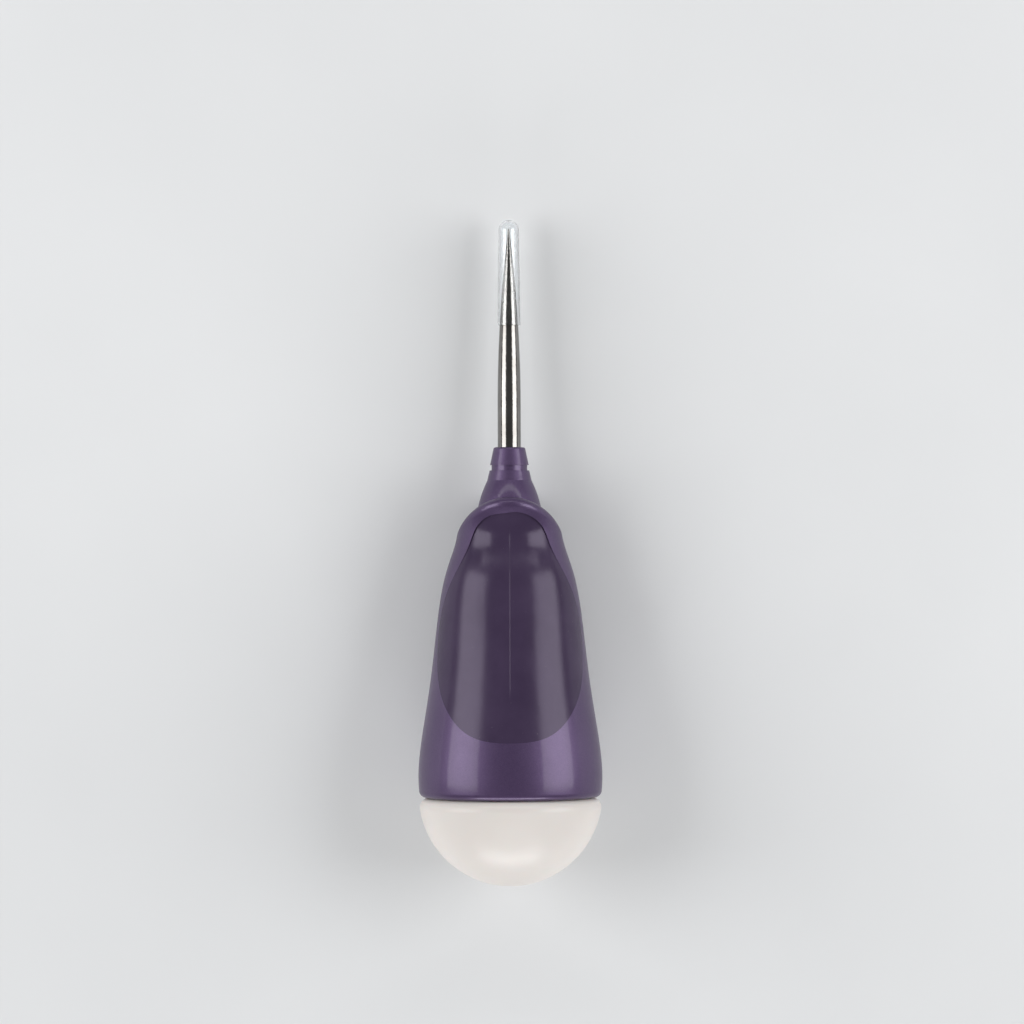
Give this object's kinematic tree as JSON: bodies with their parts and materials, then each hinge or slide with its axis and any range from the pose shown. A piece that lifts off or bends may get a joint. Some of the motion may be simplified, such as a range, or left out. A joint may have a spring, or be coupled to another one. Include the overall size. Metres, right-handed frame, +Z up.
{
  "type": "bookbinding awl",
  "caption": "Ergonomic bookbinding awl: tapered steel spike in a violet egg-shaped handle with soft grips, a white palm dome and a clear pull-off point protector.",
  "frame": {"origin": "middle of the box at the surface that the awl lies on", "axes": "+Y from the palm cap towards the point, level; +Z up from the surface; +X across the handle's width"},
  "size_m": [0.0412, 0.1486, 0.0363],
  "materials": {
    "polished_steel": "polished",
    "violet_ferrule": "metallic gloss",
    "violet_shell": "metallic gloss",
    "soft_grip": "soft touch matte",
    "white_cap": "satin",
    "core_plastic": "matte",
    "screw_steel": "zinc plated",
    "clear_plastic": "clear"
  },
  "bodies": {
    "awl": {"blade": "polished_steel", "nose_ferrule": "violet_ferrule", "handle_shell": "violet_shell", "grip_front": "soft_grip", "grip_back": "soft_grip", "palm_cap": "white_cap", "core_spine": "core_plastic", "core_retainer": "core_plastic", "core_screw": "screw_steel"},
    "protector": {"point_protector": "clear_plastic"}
  },
  "joints": [
    {"name": "protector_pull", "type": "slide", "parent": "awl", "child": "protector", "axis": [0, 0.9965, -0.084], "range_m": [0, 0.03]}
  ]
}
